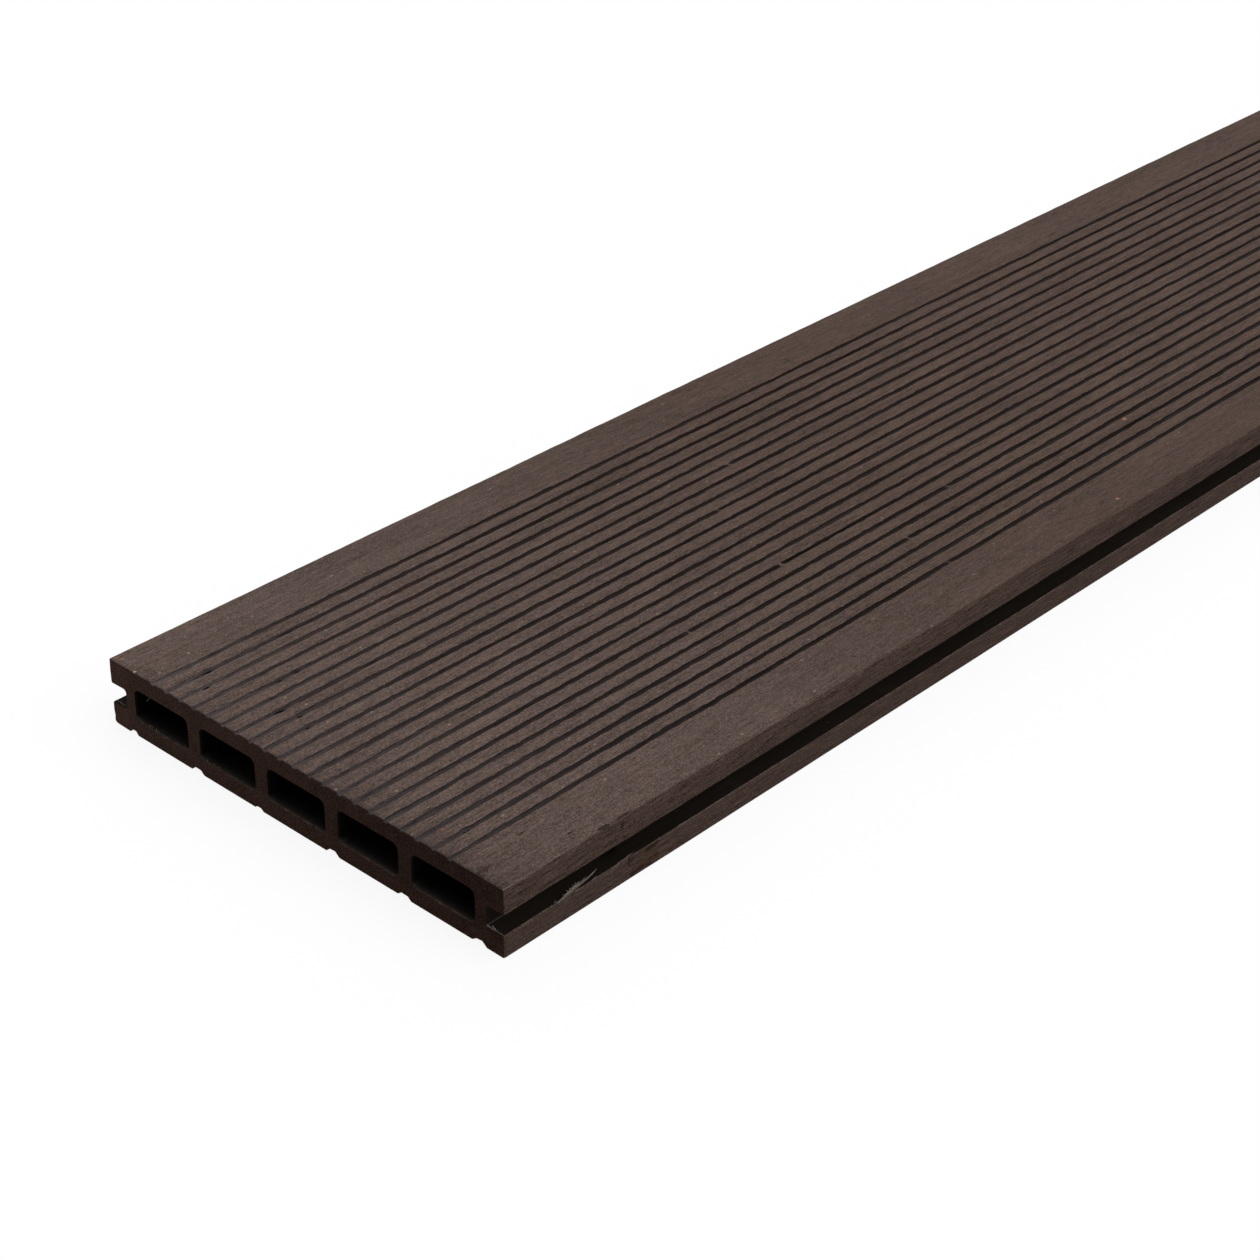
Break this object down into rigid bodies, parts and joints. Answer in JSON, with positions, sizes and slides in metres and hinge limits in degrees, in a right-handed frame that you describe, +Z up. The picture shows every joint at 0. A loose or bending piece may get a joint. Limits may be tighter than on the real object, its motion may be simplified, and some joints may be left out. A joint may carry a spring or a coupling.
{
  "type": "decking board",
  "caption": "Hollow extruded composite decking board with a grooved, brushed top, clip slots along both sides and open chambers from end to end.",
  "frame": {"origin": "middle of the underside, on the surface that the board lies on", "axes": "+X along the length, +Y across the width, +Z up through the thickness to the grooved top"},
  "size_m": [2.2, 0.138, 0.019],
  "materials": {
    "composite": "dark brown wood-plastic composite, brushed matte on top, sawn at the ends"
  },
  "bodies": {
    "root": {"decking_board": "composite"}
  },
  "joints": []
}
